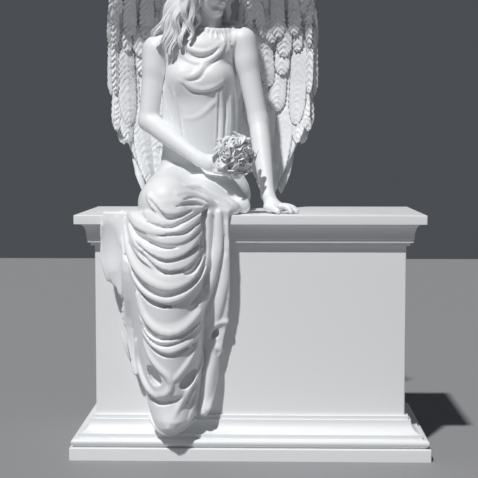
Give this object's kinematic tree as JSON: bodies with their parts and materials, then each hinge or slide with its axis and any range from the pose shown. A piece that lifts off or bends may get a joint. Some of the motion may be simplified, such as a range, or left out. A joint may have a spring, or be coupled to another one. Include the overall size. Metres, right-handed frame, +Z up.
{
  "type": "angel headstone",
  "caption": "Seated marble angel with folded wings and a bouquet, her mantle hanging down the front of a moulded rectangular pedestal.",
  "frame": {"origin": "middle of the base stone's underside", "axes": "+Z up, -Y towards the front where the mantle hangs, +X to the viewer's right"},
  "size_m": [1.22, 0.7678, 1.7982],
  "materials": {
    "base_marble": "honed white marble",
    "die_marble": "honed white marble",
    "cap_marble": "honed white marble",
    "angel_marble": "carved and honed white marble"
  },
  "bodies": {
    "root": {"base": "base_marble", "die": "die_marble", "cap": "cap_marble", "angel": "angel_marble"}
  },
  "joints": []
}
